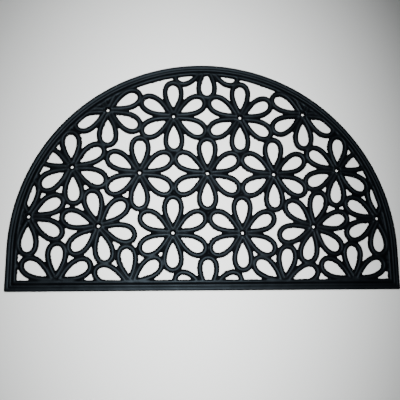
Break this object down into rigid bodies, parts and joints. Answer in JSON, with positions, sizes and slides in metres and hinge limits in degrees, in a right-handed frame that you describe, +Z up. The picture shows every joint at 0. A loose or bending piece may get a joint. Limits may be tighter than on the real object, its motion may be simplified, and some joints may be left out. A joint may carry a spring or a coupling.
{
  "type": "doormat",
  "caption": "Half-round openwork doormat moulded in black rubber: a lattice of looped flowers inside a ribbed border, flat underneath, for wiping shoes.",
  "frame": {"origin": "middle of the mat's box, on the floor that the mat lies on", "axes": "+X along the straight edge, +Y from the straight edge to the crown of the arch, +Z up through the mat"},
  "size_m": [0.75, 0.45, 0.008],
  "materials": {
    "rubber": "near-black moulded rubber with a dull blue-grey sheen on its ribs"
  },
  "bodies": {
    "root": {"mat": "rubber"}
  },
  "joints": []
}
